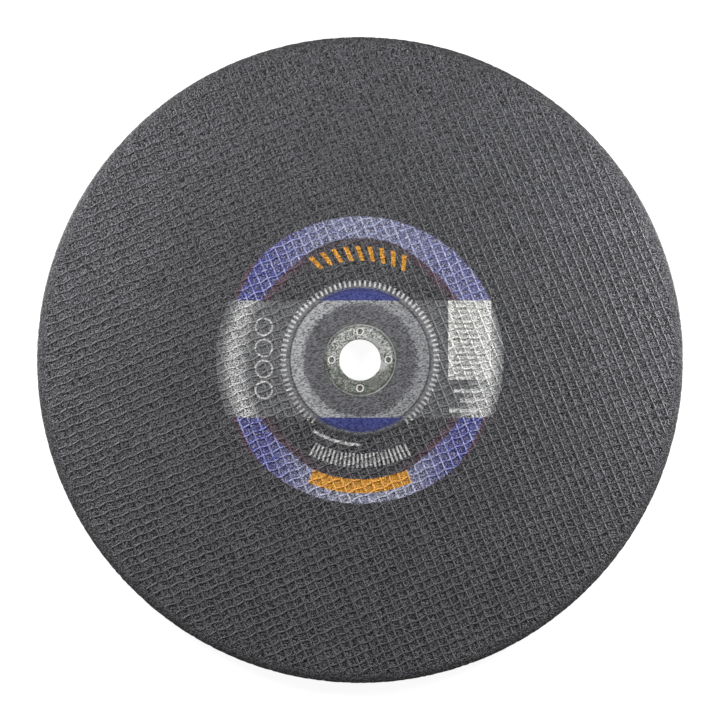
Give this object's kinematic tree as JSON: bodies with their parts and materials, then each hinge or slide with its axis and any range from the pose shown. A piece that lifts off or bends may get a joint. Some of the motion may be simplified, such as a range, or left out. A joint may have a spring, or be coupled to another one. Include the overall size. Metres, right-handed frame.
{
  "type": "cut off wheel",
  "caption": "Large flat abrasive cut off wheel with a waffle of mesh ridges, a printed paper label and a flanged steel ring in its bore, clamped on a saw's spindle to cut metal.",
  "frame": {"origin": "centre of the wheel on the plane of its back face, which it lies on", "axes": "+Z along the bore from the back face to the labelled face, +Y up the label as it is read, +X to its right"},
  "size_m": [0.3999, 0.4, 0.0045],
  "materials": {
    "abrasive": "dark grey abrasive grain in resin, rough and matt",
    "label": "printed paper soaked in resin, satin",
    "ring": "zinc plated sheet steel, satin"
  },
  "bodies": {
    "root": {"abrasive_disc": "abrasive", "label": "label", "arbor_ring": "ring"}
  },
  "joints": []
}
